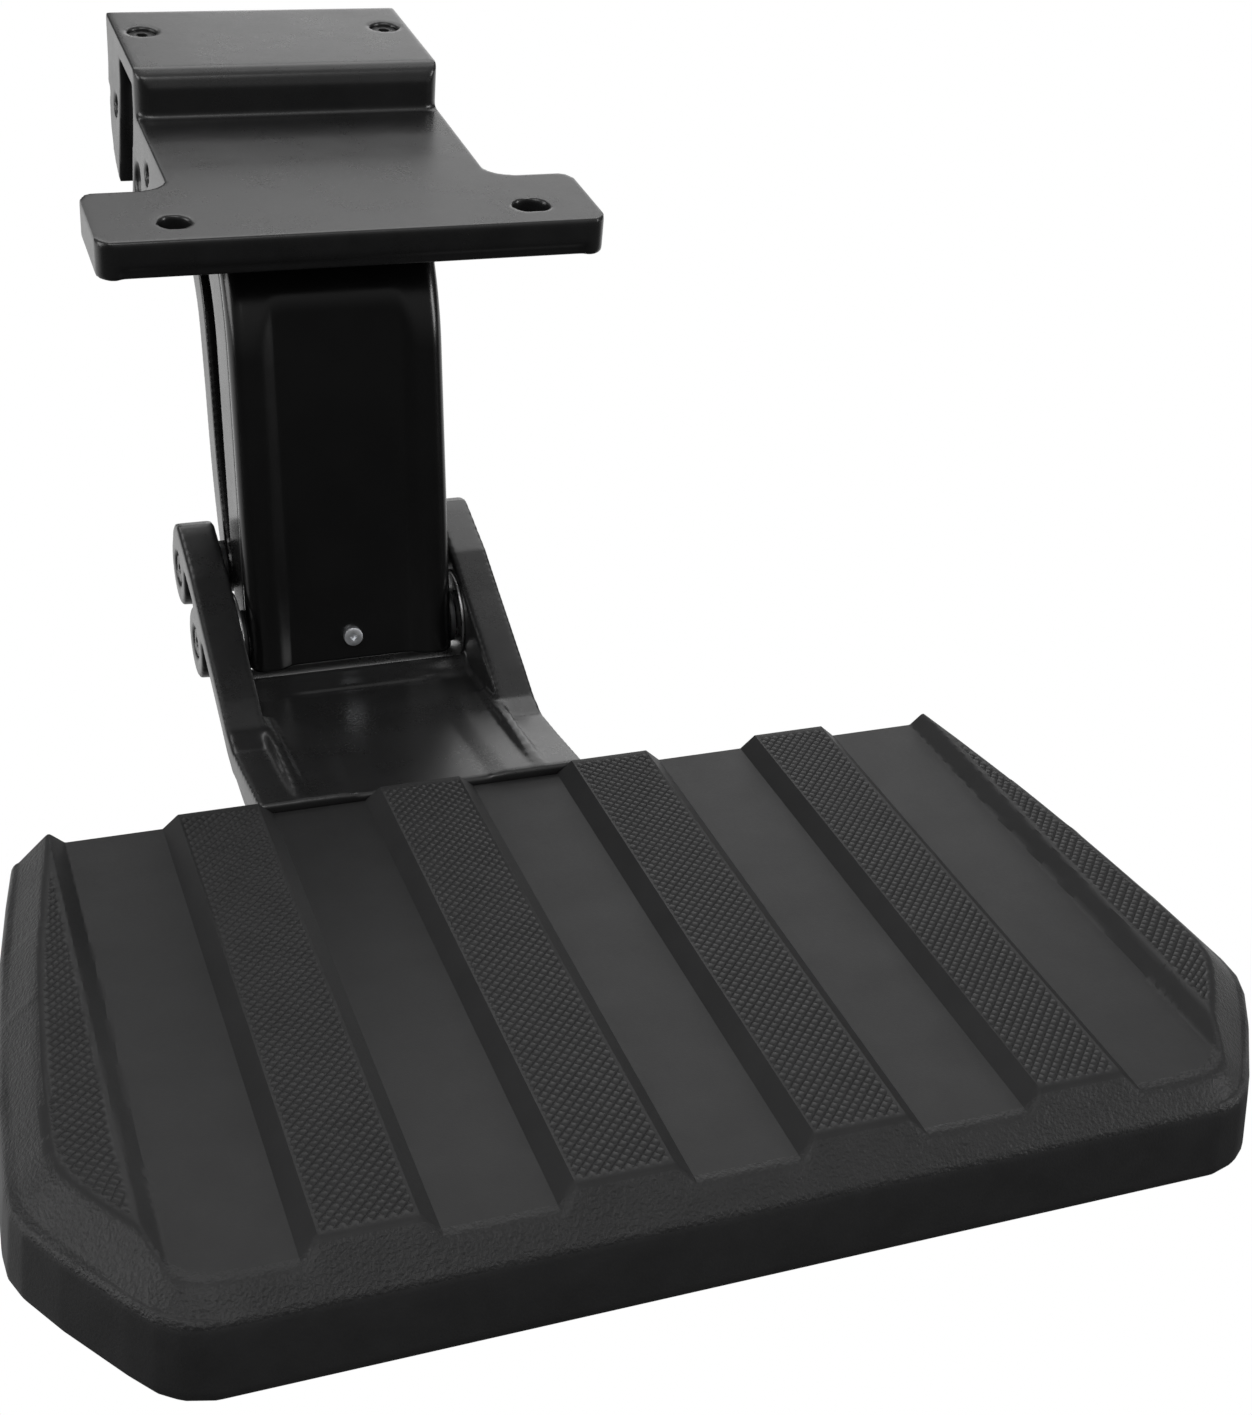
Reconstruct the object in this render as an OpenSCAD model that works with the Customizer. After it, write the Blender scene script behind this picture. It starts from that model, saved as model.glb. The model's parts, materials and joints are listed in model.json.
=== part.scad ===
// Folding tailgate step: a cast bracket that bolts under the vehicle, two parallel
// swing links with a front cover, and a cast carrier that holds a ribbed tread.
// Origin: top face of the mounting tab, on the bolt line, in the links' centre plane.
// +X right, +Y towards the vehicle, +Z up. The step is drawn deployed.

/* [Mounting tab] */
// Length of the mounting tab, left to right
tab_w = 169.6; // [160:0.1:180]
// Thickness of the mounting tab
tab_t = 13; // [11:0.5:14]
// Diameter of the left bolt hole, and width of the right bolt slot
bolt_d = 10.5; // [8.5:0.1:12]
// End-to-end length of the right bolt slot
slot_l = 12.6; // [12.5:0.1:14]

/* [Top bracket] */
// Width of the bracket behind the tab
bracket_w = 110.2; // [108:0.1:112]
// Height of the raised rear block above the tab
block_h = 16.5; // [15:0.5:18]
// Width between the bracket's side walls
cheek_gap = 83; // [83:0.5:85]
// Outward slope of the side walls in degrees
flare = 3; // [2:0.5:4]

/* [Swing links] */
// Width of the swing links over their side faces
link_w = 76; // [74:0.5:76]
// Depth of the front link's side plates
front_depth = 21.2; // [20:0.1:22]
// Depth of the rear link
rear_depth = 14; // [12:0.5:14]
// Diameter of the four pivot shafts
shaft_d = 10; // [9:0.5:10]
// Radial clearance between a shaft and its bushes
play = 0.05; // [0.02:0.01:0.08]

/* [Tread] */
// Distance of the tread's middle to the right of the links' centre plane
tread_x = 31.1; // [20:0.1:35]
// Nose-up tilt of the tread in degrees
tread_tilt = 6; // [5:0.5:7]
// Depth of the grooves between the tread ribs
groove = 4.5; // [3.5:0.5:5]
// Height of the tread's skirt below the rib tops
skirt_h = 34; // [30:0.5:36]

/* [Hidden] */
$fn = 64;

// Pivot places in the side view, as [y, z]. Both links have the same pivot distance,
// so the tread keeps its tilt as it swings.
front_low = [0, -161.3];
rear_low = [34.3, -150.5];
front_up = [90, -22];
rear_up = front_up + rear_low - front_low;
stop_at = [141, -12];

// Bracket levels
hole_x = 60;              // half the bolt pitch
hole_shift = 2;           // the pair of holes sits this far right of the links
slot_run = slot_l - bolt_d;
tab_front = -15;
tab_back = 27.7;
plate_t = 8;
block_front = 92.5;
block_back = 166.6;
cap_t = 9;
cheek_in = cheek_gap / 2;
web_out = cheek_in + 5;   // outer face of a cheek where it is pocketed
top_half = bracket_w / 2;
cheek_low = -43;
pin_screw = [45.5, 138];  // the two screws in the block's top, as [x, y]

// Links
link_half = link_w / 2;
side_t = 8;
lean = atan(0.267);       // the front link leans this far from upright
bend_at = [31, -62];      // where the front link starts to bend back
bend_c = [84.2, -76.2];
bend_r = norm(bend_c - bend_at);
cover_t = 7.3;            // depth of the cover in front of the link
panel_in = 2.5;           // depth of the cover's sunk middle panel
cover_wall = 2.5;
bush_wall = 2.5;
tube_d = 16.4;            // cross tubes between the side plates
bush_r = shaft_d / 2 + bush_wall;

// Carrier casting
ear_in = 41.5;
ear_out = 55.5;
ear_web = 50.5;           // outer face of an ear between its bosses and rim
washer_t = 1.2;
ramp_slope = 12;          // the ramp between the ears climbs forward at this angle

// Tread, in its own frame: across, along and up from the rib tops
tread_z = -162.7;
tread_edge = -113;        // back edge of the groove floors
rib_edges = [19.7, 46.5, 86.8, 112.2];
rib_flare = 5;
skin = 3.5;
frame_z = -groove - skin - 4;

ramp_front = [-112.4, -152];

function at(c, r, a) = [c[0] + r * cos(a), c[1] + r * sin(a)];
function arc(c, r, a0, a1, n = 10) = [for (i = [0:n]) at(c, r, a0 + (a1 - a0) * i / n)];

// Extrudes a side-view outline (y, z) from x0 to x1
module slab(x0, x1) {
    translate([x0, 0, 0]) rotate([90, 0, 90]) linear_extrude(x1 - x0) children();
}

// A cylinder along X through a pivot
module rod(p, d, x0, x1) {
    translate([x0, p[0], p[1]]) rotate([0, 90, 0]) cylinder(d = d, h = x1 - x0);
}

module both_sides() {
    children();
    mirror([1, 0, 0]) children();
}

module in_tread_frame() {
    translate([tread_x, 0, tread_z]) rotate([-tread_tilt, 0, 0]) children();
}

// Pan or button head screw pointing down, its head's top at the origin
module screw(head_d, head_h, d, l, socket_d, socket_fn = 6) {
    difference() {
        union() {
            translate([0, 0, -head_h]) cylinder(d = head_d, h = head_h);
            translate([0, 0, -head_h - l]) cylinder(d = d, h = l + 0.5);
        }
        translate([0, 0, -head_h * 0.6]) cylinder(d = socket_d, h = head_h, $fn = socket_fn);
    }
}

// ---------------------------------------------------------------- bracket

module rounded_box_2d(x0, y0, x1, y1, r) {
    translate([x0 + r, y0]) square([x1 - x0 - 2 * r, y1 - y0]);
    translate([x0, y0 + r]) square([x1 - x0, y1 - y0 - 2 * r]);
    for (x = [x0 + r, x1 - r], y = [y0 + r, y1 - r]) translate([x, y]) circle(r);
}

module tab_2d() {
    rounded_box_2d(-tab_w / 2, tab_front, tab_w / 2, tab_back, 6);
}

module plate_2d() {
    fillet_r = 10;
    translate([-top_half, 0]) square([bracket_w, block_front + 4]);
    difference() {
        translate([-top_half - fillet_r, tab_back - 1])
            square([bracket_w + 2 * fillet_r, fillet_r + 1]);
        for (s = [-1, 1]) translate([s * (top_half + fillet_r), tab_back + fillet_r])
            circle(fillet_r);
    }
}

module cheek_2d() {
    polygon([[25, -1], [26, -12], [30, -30], [56, cheek_low], [112, cheek_low], [130, -38.5],
        [141, -34.5], [148, -30], [153, -25], [155.5, -19], [156.5, -11], [block_back, -10],
        [block_back, block_h - 6],
        at([block_back - 6, block_h - 6], 6, 45), [block_back - 6, block_h],
        [block_front + 6, block_h], at([block_front + 6, block_h - 6], 6, 135),
        [block_front, block_h - 6], [block_front, -1]]);
}

// Part of a cheek that stands out past its pocket: front wall, top band and rear wall
module cheek_skin_2d() {
    difference() {
        cheek_2d();
        translate([102, -60]) square([29, 69]);
    }
}

module flared_side() {
    grow = tan(flare);
    rotate([90, 0, 0]) translate([0, 0, -block_back - 1]) linear_extrude(block_back + 30)
        polygon([[0, 30], [top_half, 30], [top_half, 0], [top_half - cheek_low * grow, cheek_low],
            [top_half + 3, cheek_low - 10], [0, cheek_low - 10]]);
}

module cheek() {
    slab(cheek_in, web_out) cheek_2d();
    intersection() {
        slab(web_out - 0.5, 62) cheek_skin_2d();
        flared_side();
    }
    rod(rear_up, 22, cheek_in, web_out + 4);
}

module top_bracket() color([0.13, 0.13, 0.13]) difference() {
    union() {
        translate([0, 0, -tab_t]) linear_extrude(tab_t) tab_2d();
        translate([0, 0, -plate_t]) linear_extrude(plate_t) plate_2d();
        slab(-web_out, web_out) difference() {
            cheek_2d();
            translate([block_front + 8, -60]) square([100, 60 + block_h - cap_t]);
            translate([0, -60]) square([block_front + 8.1, 60 - plate_t]);
        }
        both_sides() cheek();
    }
    // underside of the tab: a shallow tray behind a thick front rim
    translate([0, 0, -tab_t - 1]) linear_extrude(5)
        rounded_box_2d(-tab_w / 2 + 6, tab_front - 5, tab_w / 2 - 6, tab_front + 1.2, 3);
    for (s = [-1, 1]) translate([s * 66, 6, -tab_t - 1]) linear_extrude(5)
        difference() {
            rounded_box_2d(-14, -16, 14, 16, 4);
            translate([-s * 6 + hole_shift, -6]) circle(9);
        }
    // the round bolt hole and the bolt slot
    translate([hole_shift - hole_x, 0, -20]) cylinder(d = bolt_d, h = 30);
    for (s = [-1, 1]) translate([hole_shift + hole_x + s * slot_run / 2, 0, -20])
        cylinder(d = bolt_d, h = 30);
    translate([hole_shift + hole_x - slot_run / 2, -bolt_d / 2, -20])
        cube([slot_run, bolt_d, 30]);
    // seats and holes for the two screws that lock the stop pin
    for (s = [-1, 1]) translate([s * pin_screw[0], pin_screw[1], 0]) {
        translate([0, 0, block_h - 5]) cylinder(d = 10.5, h = 6);
        translate([0, 0, stop_at[1]]) cylinder(d = 6, h = 40);
    }
    // rounded corners of the rear block
    for (s = [-1, 1]) rounded_off(s, block_front, 1, 0.01);
    for (s = [-1, 1]) rounded_off(s, block_back, -1, -11);
    // shaft bores, with shallow seats on the outside
    rod(front_up, shaft_d, -70, 70);
    rod(rear_up, shaft_d, -70, 70);
    rod(stop_at, 8, -70, 70);
    both_sides() rod(front_up, 14, top_half - 1, 70);
    both_sides() rod([71, -12], 7.5, top_half - 5, 70);
}

// Cuts away one vertical corner of the rear block, to a radius of 6
module rounded_off(side, y, inward, z) {
    r = 6;
    cx = side * (top_half - r);
    translate([0, 0, z]) linear_extrude(40) difference() {
        translate([side > 0 ? cx : cx - r - 3, inward > 0 ? y - 1 : y - r]) square([r + 3, r + 1]);
        translate([cx, y + inward * r]) circle(r);
    }
}

module pin_lock_screws() color([0.08, 0.08, 0.08]) {
    for (s = [-1, 1]) translate([s * pin_screw[0], pin_screw[1], block_h - 1.4])
        screw(9.8, 3.6, 6, block_h - 5 - stop_at[1] - 2.6, 4.5);
}

module upper_shaft(p, half) {
    difference() {
        rod(p, shaft_d, -half, half);
        for (s = [-1, 1]) rod(p, 4, s * half - 3, s * half + 3);
    }
}

module front_upper_shaft() color([0.55, 0.55, 0.57]) upper_shaft(front_up, top_half - 1.5);

module rear_upper_shaft() color([0.55, 0.55, 0.57]) upper_shaft(rear_up, web_out + 3.5);

module stow_stop_pin() color([0.55, 0.55, 0.57]) difference() {
    rod(stop_at, 8, -top_half + 1, top_half - 1);
    // flats under the lock screws
    for (s = [-1, 1]) translate([s * pin_screw[0], pin_screw[1], stop_at[1]])
        cylinder(d = 6.2, h = 10);
}

// Rubber blocks that the front link rests against when the step is down
module deployed_bumpers() color([0.05, 0.05, 0.05]) {
    for (s = [-1, 1]) difference() {
        slab(s * 34 - 4, s * 34 + 4) difference() {
            translate([42, -30]) square([16, 30 - plate_t]);
            translate(bend_c) circle(bend_r + front_depth / 2 + 0.1, $fn = 128);
        }
        translate([s * 34, 50, -14]) cylinder(d = 3, h = 10);
    }
}

module bumper_screws() color([0.4, 0.4, 0.42]) {
    for (s = [-1, 1]) translate([s * 34, 50, -13.9]) cylinder(d = 3, h = 13.9 - plate_t);
}

// ---------------------------------------------------------------- front link

bend_a0 = 180 - lean;
bend_a1 = 84;

// Outline that follows the front link's middle line between two offsets from it
module link_band(front, back, a_end, z_low) {
    drop = [-sin(lean), -cos(lean)];
    span = (bend_at[1] - z_low) / cos(lean);
    low_front = at(bend_c, bend_r + front, bend_a0) + drop * span;
    low_back = at(bend_c, bend_r - back, bend_a0) + drop * span;
    polygon(concat([low_back, low_front], arc(bend_c, bend_r + front, bend_a0, a_end, 14),
        arc(bend_c, bend_r - back, a_end, bend_a0, 14)));
}

module front_link() color([0.1, 0.1, 0.1]) difference() {
    half = front_depth / 2;
    union() {
        both_sides() slab(link_half - side_t, link_half) {
            link_band(half, half, bend_a1, -158);
            translate(front_up) circle(12);
            translate(front_low) circle(11);
        }
        // web that joins the side plates along their rear edges
        slab(-link_half + 1, link_half - 1) link_band(-half + 6, half - 0.5, 124, -146);
        rod(front_low, tube_d, -link_half + 1, link_half - 1);
        // rib from the web to the lower tube
        slab(-4, 4) polygon([[2, -162], [-6, -152], [4, -138], [24, -138], [8, -160]]);
    }
    rod(front_up, 2 * bush_r, -50, 50);
    bush_seats(front_low);
    at_cover_screw() translate([0, 0, -20]) cylinder(d = 4, h = 20);
}

cover_top = 134;
cover_low = -167.6;

module front_cover() color([0.02, 0.02, 0.02]) difference() {
    half = front_depth / 2;
    slab(-link_half, link_half) link_band(half + cover_t, -half - 0.1, cover_top, -175);
    translate([-60, -100, cover_low - 60]) cube([120, 200, 60]);
    sunk_panel();
    // hollow back
    slab(-link_half + cover_wall, link_half - cover_wall)
        link_band(half + cover_t - cover_wall - panel_in, half + 20, 170, -180);
    // room for the front link's lower bosses
    rod(front_low, 22.6, -60, 60);
    at_cover_screw() translate([0, 0, -20]) cylinder(d = 4.4, h = 40);
}

// Frame on the sunk panel at the cover screw, with its third axis out of the panel
module at_cover_screw() {
    foot = at(bend_c, bend_r + front_depth / 2 + cover_t - panel_in, bend_a0);
    translate([0, foot[0], foot[1]]) rotate([-lean, 0, 0]) translate([0, 0, -104])
        rotate([90, 0, 0]) children();
}

// The straight middle panel, sunk below the cover's side bands, with sloping sides
module sunk_panel() {
    face = front_depth / 2 + cover_t;
    foot = at(bend_c, bend_r + face - panel_in, bend_a0);
    translate([0, foot[0], foot[1]]) rotate([-lean, 0, 0]) translate([0, 0, -150])
        linear_extrude(190)
            polygon([[-22, 0], [22, 0], [28, -panel_in], [28, -20], [-28, -20], [-28, -panel_in]]);
}

module cover_screw() color([0.75, 0.76, 0.78])
    at_cover_screw() translate([0, 0, 2.4]) screw(6.8, 2.4, 3.9, 4.5, 3, 4);

// Bores for the two bushes at a link's end, with a narrower bore between them
module bush_seats(p) {
    rod(p, shaft_d + 1, -50, 50);
    both_sides() rod(p, 2 * bush_r, link_half - side_t, 50);
}

// A flanged bush on each side of a link
module bushes(p, flange_d) {
    both_sides() difference() {
        union() {
            rod(p, 2 * bush_r, link_half - side_t, link_half);
            rod(p, flange_d, link_half, ear_in - 0.3);
        }
        rod(p, shaft_d + 2 * play, 0, 60);
    }
}

module front_upper_bushes() color([0.5, 0.45, 0.35]) bushes(front_up, 20);

module front_lower_bushes() color([0.5, 0.45, 0.35]) both_sides() difference() {
    union() {
        rod(front_low, 2 * bush_r, link_half - side_t, link_half);
        rod(front_low, 20, link_half, ear_in - washer_t - 0.3);
    }
    rod(front_low, shaft_d + 2 * play, 0, 60);
}

// Coil of touching rings around the front upper shaft, with a leg at each end
module torsion_spring(x0) {
    wire = 3;
    coil_r = 8;
    turns = 6;
    pitch = wire - 0.3;
    translate([x0, front_up[0], front_up[1]]) rotate([0, 90, 0]) rotate_extrude()
        for (i = [0:turns - 1]) translate([coil_r, i * pitch]) circle(d = wire);
    // leg on the link's web
    translate([x0, front_up[0], front_up[1] - coil_r]) rotate([90, 0, 0])
        cylinder(d = wire * 0.9, h = 24);
    // leg on the bracket
    translate([x0 + (turns - 1) * pitch, front_up[0], front_up[1] + coil_r])
        rotate([90, 0, 0]) cylinder(d = wire * 0.9, h = 22);
}

module left_torsion_spring() color([0.3, 0.3, 0.32]) torsion_spring(-26);

module right_torsion_spring() color([0.3, 0.3, 0.32]) mirror([1, 0, 0]) torsion_spring(-26);

// ---------------------------------------------------------------- rear link

// The link's middle line: up from the lower pivot, then round below the front link's boss
rear_path = concat(
    curve([rear_low, rear_low + [9, 15], [50, -126], [56, -108]], 6),
    curve([[56, -108], [63, -86], [64, -84], [69, -71]], 3),
    curve([[69, -71], [79, -45], [106, -48], rear_up], 12));

// Cubic curve through the first and last of four points, without its first point
function curve(p, n) = [for (i = [1:n]) let (t = i / n, u = 1 - t)
    u * u * u * p[0] + 3 * u * u * t * p[1] + 3 * u * t * t * p[2] + t * t * t * p[3]];

function side_of(a, b) = [b[1] - a[1], a[0] - b[0]] / norm(b - a);

// Points to one side of a path, at a distance
function beside(path, h) = [for (i = [0:len(path) - 1])
    path[i] + h * side_of(path[max(i - 1, 0)], path[min(i + 1, len(path) - 1)])];

function backward(path) = [for (i = [len(path) - 1:-1:0]) path[i]];

module rear_band(depth) {
    path = concat([rear_low], rear_path);
    polygon(concat(beside(path, depth / 2), backward(beside(path, -depth / 2))));
}

module rear_link() color([0.12, 0.12, 0.12]) difference() {
    union() {
        both_sides() slab(link_half - side_t, link_half) {
            rear_band(rear_depth);
            translate(rear_up) circle(9.8);
            translate(rear_low) circle(10.5);
        }
        slab(-link_half + 1, link_half - 1) rear_band(6);
        rod(rear_low, tube_d, -link_half + 1, link_half - 1);
        rod(rear_up, tube_d, -link_half + 1, link_half - 1);
    }
    bush_seats(rear_up);
    bush_seats(rear_low);
}

module rear_upper_bushes() color([0.5, 0.45, 0.35]) bushes(rear_up, 18);

// The linkage's open pivot: these bushes run on the shaft with more play
module rear_lower_bushes() color([0.5, 0.45, 0.35]) both_sides() difference() {
    union() {
        rod(rear_low, 2 * bush_r, link_half - side_t, link_half);
        rod(rear_low, 18, link_half, ear_in - 0.3);
    }
    rod(rear_low, shaft_d + 4 * play, 0, 60);
}

// ---------------------------------------------------------------- carrier

// Side view of an ear: upper edge from the top corner forward, then back along the bottom
ear_top = [[46, -145], [44.5, -139], [40.5, -134.5], [35, -132.6], [30, -133.4], [7, -138.3], [-12, -145], [-30, -151], [-46, -156.5], [-58, -161],
    [-68, -162.5], [-84, -159], [-112.4, -152]];
ear_bottom = [[-112.4, -184], [-58, -190.5], [-44, -190], [-29, -186], [-16, -181.5], [-7, -177.5]];

module ear_2d() {
    polygon(concat(ear_top, ear_bottom, [[8, -171], [27, -168], [40, -159], [46, -151]]));
    translate(front_low) circle(13);
    translate(rear_low) circle(13.5);
}

// Raised rim along the ear's upper edge and its two bosses
module ear_rim_2d() {
    drop = 9;
    polygon(concat(ear_top, [for (i = [len(ear_top) - 1:-1:0]) ear_top[i] - [0, drop]]));
    translate(rear_low) circle(13.5);
    translate(front_low) circle(13);
}

module ramp_2d() {
    t = tan(ramp_slope);
    front_y = ramp_front[0];
    front_z = ramp_front[1];
    polygon([ramp_front, [-30, front_z - (-30 - front_y) * t],
        [-23, -169.4], [-19, -168.4], [-10, -168.4], [5, -174], [5, -181], [-4, -182.5],
        [-16, -182], [-29, front_z - (-29 - front_y) * t - 8], [front_y, front_z - 7]]);
}

// Shallow sunk panel along the middle of the ramp, with sloping sides
module ramp_panel() {
    translate([0, ramp_front[0], ramp_front[1]]) rotate([-ramp_slope, 0, 0])
        translate([0, -3, 0]) rotate([-90, 0, 0]) linear_extrude(90)
            polygon([[-22, 0.9], [22, 0.9], [29, 0], [29, -6], [-29, -6], [-29, 0]]);
}

module step_carrier() color([0.13, 0.13, 0.13]) difference() {
    union() {
        both_sides() {
            slab(ear_in, ear_web) ear_2d();
            slab(ear_web - 1, ear_out) ear_rim_2d();
            // fillet between the ear and the ramp
            slab(ear_in - 3, ear_in + 1) polygon([[-45, -165], [-70, -158.5], [-112.4, -152],
                [-112.4, -158], [-60, -172], [-45, -172]]);
        }
        slab(-ear_in - 1, ear_in + 1) ramp_2d();
        // tongue under the tread
        in_tread_frame() translate([-tread_x - ear_web + 0.6, -288, frame_z - 10])
            cube([2 * ear_web - 1.2, 288 - 106, 6.95]);
        in_tread_frame() for (s = [-1, 1])
            translate([-tread_x + s * 45 - 3, -288, frame_z - 19]) cube([6, 288 - 106, 10]);
        slab(-ear_web + 1, ear_web - 1) polygon([[-112, -153.5], [-104, -155.5], [-104, -178],
            [-112, -178]]);
    }
    ramp_panel();
    // room for the lower end of the front link and its cover
    rod(front_low, 35.4, -ear_in, ear_in);
    rod(front_low, shaft_d, -70, 70);
    rod(rear_low, shaft_d, -70, 70);
    both_sides() {
        rod(front_low, 11.5, ear_out - 3, 70);
        rod(rear_low, 13, ear_out - 3, 70);
    }
    // holes for the frame bolts
    in_tread_frame() for (p = frame_bolt_at) translate([p[0], p[1], -60])
        cylinder(d = 8.4, h = 60);
}

module lower_shaft(p) {
    difference() {
        rod(p, shaft_d, -ear_out + 0.6, ear_out - 0.6);
        for (s = [-1, 1]) rod(p, 4, s * ear_out - 3, s * ear_out + 3);
        // grooves for the circlips
        for (s = [-1, 1]) difference() {
            rod(p, shaft_d + 2, s * (ear_out - 1.9) - 0.6, s * (ear_out - 1.9) + 0.6);
            rod(p, shaft_d - 1, s * (ear_out - 1.9) - 1, s * (ear_out - 1.9) + 1);
        }
    }
}

module front_lower_shaft() color([0.55, 0.55, 0.57]) lower_shaft(front_low);

module rear_lower_shaft() color([0.55, 0.55, 0.57]) lower_shaft(rear_low);

module lower_thrust_washers() color([0.7, 0.7, 0.72]) both_sides() difference() {
    rod(front_low, 34, ear_in - washer_t, ear_in);
    rod(front_low, shaft_d, 0, 60);
}

// Retaining rings in the grooves at the ends of the lower shafts
module shaft_circlips() color([0.35, 0.35, 0.37]) both_sides() for (p = [front_low, rear_low])
    difference() {
        rod(p, shaft_d + 1.2, ear_out - 2.4, ear_out - 1.4);
        rod(p, shaft_d - 1, 0, 70);
        translate([0, p[0] - 1, p[1] - 10]) cube([70, 2, 10]);
    }

// ---------------------------------------------------------------- tread

frame_bolt_at = [for (x = [-32, 32], v = [-150, -262]) [x - tread_x, v]];
tread_screw_at = [for (x = [-132, 132], v = [-150, -214, -278]) [x, v]];

// Pressed plate that spreads the load under the tread, with turned-down edges
module tread_frame() color([0.1, 0.1, 0.1]) in_tread_frame() difference() {
    plate_z = frame_z;
    union() {
        translate([0, 0, plate_z - 3]) linear_extrude(3)
            rounded_box_2d(-146, -292, 146, -130, 14);
        // turned-down edges, left open at the carrier's tongue
        for (v = [-292, -133.4]) difference() {
            translate([-130, v, plate_z - 9]) cube([260, 3.4, 8]);
            translate([-tread_x - 54, v - 1, plate_z - 20]) cube([108, 6, 17]);
        }
    }
    for (p = frame_bolt_at) translate([p[0], p[1], -60]) cylinder(d = 8.4, h = 60);
    for (p = tread_screw_at) translate([p[0], p[1], -60]) cylinder(d = 5.4, h = 60);
    // lightening holes
    for (x = [-98, 80]) translate([x, -211, -60]) cylinder(d = 46, h = 60);
}

module frame_bolts() color([0.6, 0.6, 0.62]) in_tread_frame() for (p = frame_bolt_at)
    translate([p[0], p[1], frame_z + 3.2]) {
        screw(14, 3.2, 8, 13, 5);
        translate([0, 0, -19.9]) difference() {
            cylinder(d = 14.5, h = 6.7, $fn = 6);
            translate([0, 0, -1]) cylinder(d = 8, h = 10);
        }
    }

// Plan of the tread's outer edge at the skirt
module tread_plan(grow = 0) {
    polygon([[-160 - grow, -111 + grow], [160 + grow, -111 + grow], [165 + grow, -127],
        [178 + grow, -282], [163 + grow, -308], [147 + grow * 0.6, -324 - grow],
        [-147 - grow * 0.6, -324 - grow], [-163 - grow, -308], [-178 - grow, -282],
        [-165 - grow, -127]]);
}

// Cross-section of the tread's top across the ribs, closed well below
module rib_section() {
    low = -60;
    right = [[0, -groove], [rib_edges[0] - rib_flare, -groove], [rib_edges[0], 0],
        [rib_edges[1], 0], [rib_edges[1] + rib_flare, -groove],
        [rib_edges[2] - rib_flare, -groove], [rib_edges[2], 0], [rib_edges[3], 0],
        [rib_edges[3] + rib_flare, -groove], [146, -groove], [153, 0.2], [200, 0.2], [200, low]];
    polygon(concat(right, [for (i = [len(right) - 1:-1:1]) [-right[i][0], right[i][1]]]));
}

module tread_pad() color([0.16, 0.16, 0.165]) in_tread_frame() difference() {
    union() {
        intersection() {
            translate([0, 0, -skirt_h]) linear_extrude(skirt_h - 10) tread_plan(4);
            translate([-200, -340, -60]) cube([400, 400, 60]);
        }
        intersection() {
            translate([0, 0, -skirt_h]) linear_extrude(skirt_h + 1) tread_plan();
            translate([0, -100, 0]) rotate([90, 0, 0]) linear_extrude(400) rib_section();
            // front and side slopes from the ribs down to the skirt
            rotate([90, 0, 90]) translate([0, 0, -200]) linear_extrude(400)
                polygon([[tread_edge, -2], [tread_edge - 2.5, 0.2], [-313, 0.2], [-325, -10],
                    [-325, -60], [tread_edge, -60]]);
        }
    }
    // hollow underside, around the screw bosses
    translate([0, 0, -60]) difference() {
        linear_extrude(60 - groove - skin) tread_plan(-4);
        for (p = tread_screw_at) translate([p[0], p[1], 60 + frame_z + 0.02])
            cylinder(d = 12, h = 20);
    }
    translate([0, 0, -60]) linear_extrude(60 - 13.5) tread_plan(0.5);
    // notch for the carrier: its ramp ends at the tread's edge, its tongue goes under
    translate([-tread_x - 58, tread_edge - 0.6, -60]) cube([116, 40, 62]);
    translate([-tread_x - 58, tread_edge - 8, -60]) cube([116, 40, 60 - groove - skin]);
    for (p = tread_screw_at) translate([p[0], p[1], -60]) cylinder(d = 5.1, h = 53.8);
}

module tread_screws() color([0.6, 0.6, 0.62]) in_tread_frame() for (p = tread_screw_at)
    translate([p[0], p[1], frame_z - 6]) mirror([0, 0, 1]) screw(9, 3, 5, 8.4, 3);

top_bracket();
pin_lock_screws();
front_upper_shaft();
rear_upper_shaft();
stow_stop_pin();
deployed_bumpers();
bumper_screws();
front_link();
front_cover();
cover_screw();
front_upper_bushes();
front_lower_bushes();
left_torsion_spring();
right_torsion_spring();
rear_link();
rear_upper_bushes();
rear_lower_bushes();
step_carrier();
front_lower_shaft();
rear_lower_shaft();
lower_thrust_washers();
shaft_circlips();
tread_frame();
frame_bolts();
tread_pad();
tread_screws();
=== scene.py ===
"""Looks of the folding tailgate step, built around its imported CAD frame.

Everything is in metres in the CAD frame: +X right, +Y towards the vehicle, +Z up, with the
origin on top of the mounting tab. Sizes given in millimetres carry the factor MM.
"""

import json
import math

import bmesh
import bpy
from mathutils import Matrix, Vector


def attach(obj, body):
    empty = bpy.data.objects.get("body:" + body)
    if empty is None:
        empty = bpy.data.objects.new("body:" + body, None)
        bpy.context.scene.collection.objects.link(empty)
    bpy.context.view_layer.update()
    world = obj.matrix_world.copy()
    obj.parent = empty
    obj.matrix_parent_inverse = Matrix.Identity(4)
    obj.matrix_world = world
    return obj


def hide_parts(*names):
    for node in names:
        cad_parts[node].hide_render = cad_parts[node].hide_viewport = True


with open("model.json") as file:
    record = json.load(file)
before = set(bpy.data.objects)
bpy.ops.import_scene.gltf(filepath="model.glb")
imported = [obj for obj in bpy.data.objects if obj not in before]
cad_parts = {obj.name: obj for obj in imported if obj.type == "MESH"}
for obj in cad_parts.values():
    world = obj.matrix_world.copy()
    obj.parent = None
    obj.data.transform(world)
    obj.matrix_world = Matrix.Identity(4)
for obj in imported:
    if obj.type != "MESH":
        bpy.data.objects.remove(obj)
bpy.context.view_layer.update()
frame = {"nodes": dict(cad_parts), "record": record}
node_body = {n: b for b, names in frame["record"]["behaviour"]["bodies"].items() for n in names}

MM = 0.001

# ---------------------------------------------------------------- camera, lights, floor

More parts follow.
